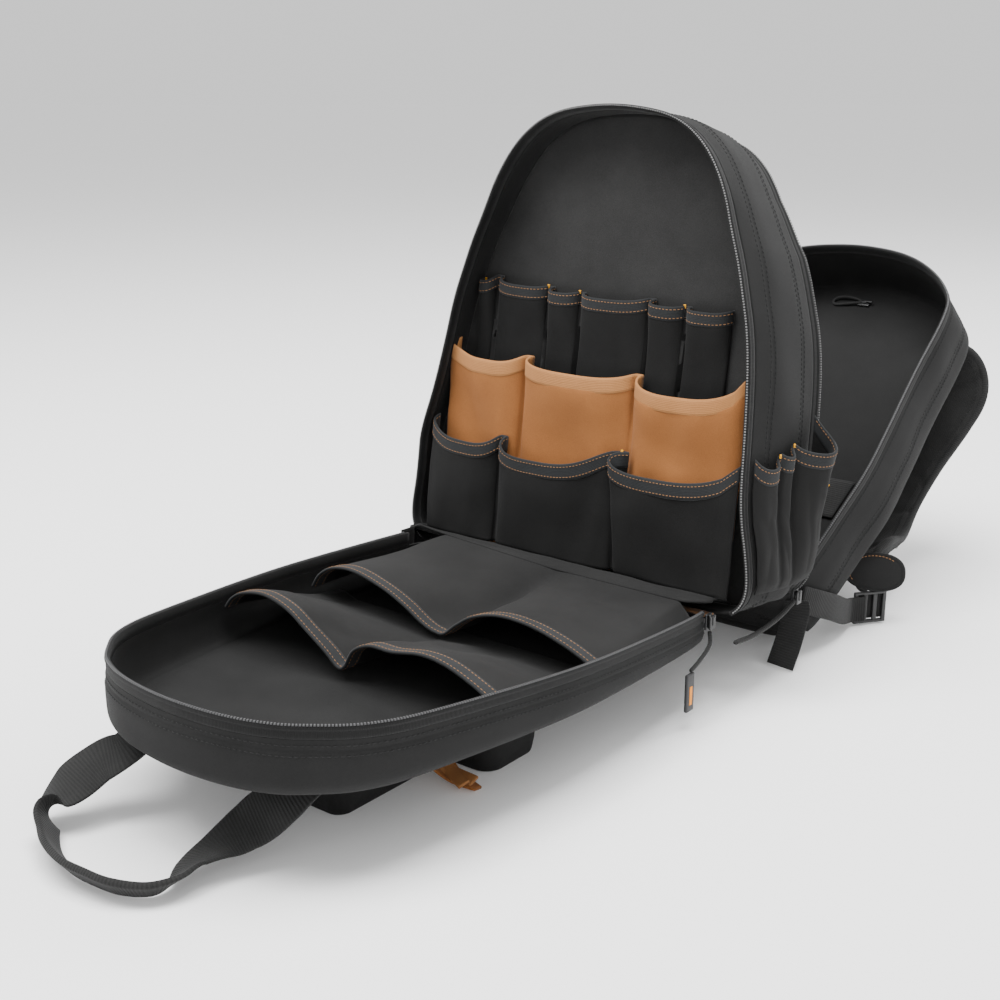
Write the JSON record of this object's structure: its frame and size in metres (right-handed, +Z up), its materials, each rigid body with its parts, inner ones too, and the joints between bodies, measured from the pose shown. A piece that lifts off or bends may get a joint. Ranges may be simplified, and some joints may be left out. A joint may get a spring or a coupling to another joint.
{
  "type": "tool backpack",
  "caption": "Soft tool backpack unzipped flat: standing middle section with pocket rows, front lid with inner pockets, rear section with shoulder straps and back pad.",
  "frame": {"origin": "under the middle of the whole opened bag, on the surface that it rests on", "axes": "+Z up, -Y from the standing middle section towards the free end of the lid, +X towards the right-hand side seen from the lid"},
  "size_m": [0.3938, 1.0568, 0.4879],
  "materials": {
    "body_fabric": "black woven polyester with a soft sheen",
    "pad_mesh": "black padded fabric with spacer mesh",
    "grey_tape": "grey-black binding tape with tan double stitching",
    "tan_canvas": "tan cotton canvas",
    "tan_tape": "light tan binding tape",
    "brown_binding": "brown seam binding",
    "webbing": "black ribbed webbing",
    "zip": "zip tape with moulded teeth",
    "hard_plastic": "black moulded plastic",
    "tag_rubber": "soft black tag with a plain orange bar"
  },
  "bodies": {
    "root": {"mid_gusset": "body_fabric", "mid_divider": "body_fabric", "mid_front_zip": "zip", "mid_rear_zip": "zip", "lid_shell": "body_fabric", "lid_zip": "zip", "rear_shell": "body_fabric", "rear_zip": "zip", "back_pad": "pad_mesh", "slim_pocket_row": "body_fabric", "slim_pocket_tape": "grey_tape", "tan_pocket_row": "tan_canvas", "tan_pocket_tape": "tan_tape", "bottom_pocket_row": "body_fabric", "bottom_pocket_tape": "grey_tape", "lid_tier_1_pockets": "body_fabric", "lid_tier_1_tape": "grey_tape", "lid_tier_2_pockets": "body_fabric", "lid_tier_2_tape": "grey_tape", "hinge_cover": "body_fabric", "hinge_binding": "brown_binding", "side_pockets": "body_fabric", "side_pocket_tape": "grey_tape", "outer_pocket_upper": "body_fabric", "outer_pocket_lower": "body_fabric", "tan_tab": "tan_canvas", "carry_handle": "webbing", "strap_right": "pad_mesh", "strap_left": "pad_mesh", "webbing_right": "webbing", "buckle_right": "hard_plastic", "tail_right": "webbing", "webbing_left": "webbing", "buckle_left": "hard_plastic", "tail_left": "webbing", "inner_tab": "webbing", "panel_zip_pull": "hard_plastic", "lid_slider": "hard_plastic", "lid_pull_cord": "webbing", "lid_pull_tag": "tag_rubber", "rear_slider": "hard_plastic", "rear_pull_cord": "webbing"}
  },
  "joints": []
}
